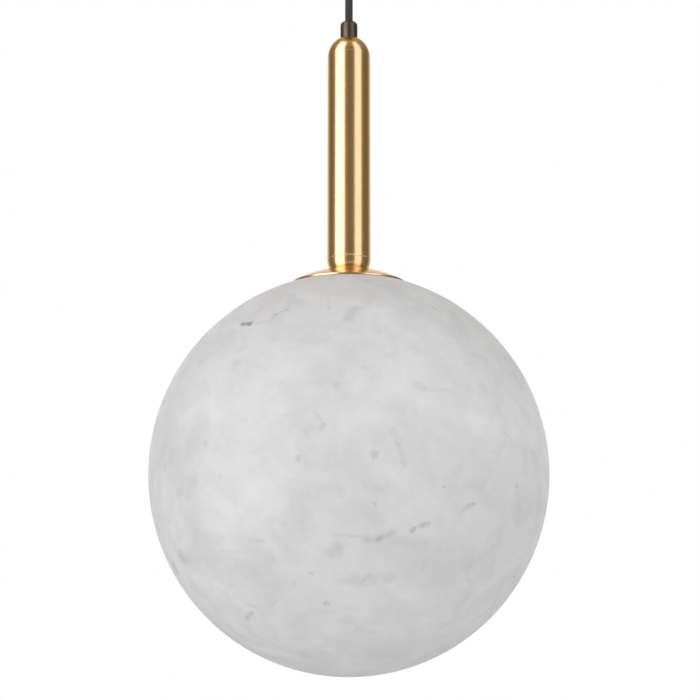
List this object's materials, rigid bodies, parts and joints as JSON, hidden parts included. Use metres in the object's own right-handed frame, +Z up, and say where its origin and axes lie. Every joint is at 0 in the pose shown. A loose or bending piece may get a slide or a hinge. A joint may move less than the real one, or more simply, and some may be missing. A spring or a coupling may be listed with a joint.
{
  "type": "globe pendant lamp",
  "caption": "Hollow stone globe hung under a long brass tube with a domed head, a brass saucer, a cord grip, a short textile cord and a ceiling cup.",
  "frame": {"origin": "on the lamp's axis in the ceiling plane, at the middle of the bracket's two slots", "axes": "+Z up into the ceiling, X along the ceiling bracket, +Y the back of the lamp"},
  "size_m": [0.2999, 0.3, 0.5989],
  "materials": {
    "brushed_brass": "satin",
    "dark_bronze": "satin",
    "alabaster": "matte",
    "textile_cord": "matte",
    "zinc_steel": "satin",
    "plain_brass": "satin",
    "white_ceramic": "satin",
    "white_plastic": "satin",
    "soft_rubber": "matte",
    "fibre_washer": "matte",
    "brown_core": "satin",
    "blue_core": "satin",
    "green_core": "satin",
    "lead_sleeve": "satin",
    "bulb_clear": "gloss",
    "led_white": "satin"
  },
  "bodies": {
    "ceiling": {"ceiling_bracket": "zinc_steel", "ceiling_cup": "brushed_brass", "cup_side_screws": "brushed_brass", "cup_cord_grip": "dark_bronze", "cup_grip_screw": "dark_bronze", "cup_locknut": "zinc_steel", "terminal_block": "white_plastic", "terminal_clamps": "plain_brass", "terminal_screws": "zinc_steel", "block_screw": "zinc_steel", "earth_screw": "plain_brass", "live_core": "brown_core", "neutral_core": "blue_core", "earth_core": "green_core", "cord_top_end": "textile_cord"},
    "bend": {"cord_bend": "textile_cord"},
    "cord": {"pendant_cord": "textile_cord"},
    "lamp": {"lamp_cord_grip": "dark_bronze", "lamp_grip_screw": "dark_bronze", "tube_dome": "brushed_brass", "holder_tube": "brushed_brass", "tube_collar": "brushed_brass", "threaded_rod": "zinc_steel", "rod_steady": "zinc_steel", "cord_in_rod": "textile_cord", "lampholder_cap": "zinc_steel", "lampholder_body": "white_ceramic", "lampholder_screws": "zinc_steel", "lampholder_contacts": "plain_brass", "holder_leads": "lead_sleeve"},
    "washer": {"collar_washer": "fibre_washer"},
    "globe": {"alabaster_globe": "alabaster", "saucer_cap": "brushed_brass", "rim_gasket": "soft_rubber", "gallery_nipple": "plain_brass", "upper_spreader_plate": "zinc_steel", "lower_spreader_plate": "zinc_steel", "spreader_pads": "soft_rubber", "gallery_ring_nut": "zinc_steel"},
    "bulb": {"bulb_base": "white_ceramic", "bulb_pins": "zinc_steel", "bulb_cover": "bulb_clear", "led_board": "led_white"}
  },
  "joints": [
    {"name": "swing_front_back", "type": "hinge", "parent": "ceiling", "child": "bend", "pos_m": [0, 0, -0.042], "axis": [1, 0, 0], "range_deg": [-25, 25]},
    {"name": "swing_sideways", "type": "hinge", "parent": "bend", "child": "cord", "pos_m": [0, 0, -0.042], "axis": [0, 1, 0], "range_deg": [-25, 25]},
    {"name": "lamp_twist", "type": "hinge", "parent": "cord", "child": "lamp", "pos_m": [0, 0, -0.092], "axis": [0, 0, 1], "range_deg": [-180, 180]},
    {"name": "globe_lower", "type": "slide", "parent": "lamp", "child": "washer", "axis": [0, 0, -1], "range_m": [0, 0.00675]},
    {"name": "globe_unscrew", "type": "hinge", "parent": "washer", "child": "globe", "pos_m": [0, 0, -0.2944], "axis": [0, 0, -1], "range_deg": [0, 1700]},
    {"name": "bulb_pull", "type": "slide", "parent": "lamp", "child": "bulb", "axis": [0, 0, -1], "range_m": [0, 0.011]}
  ],
  "couplings": [
    {"joint": "globe_unscrew", "follows": "globe_lower", "rad_per_m": 4188.8}
  ]
}
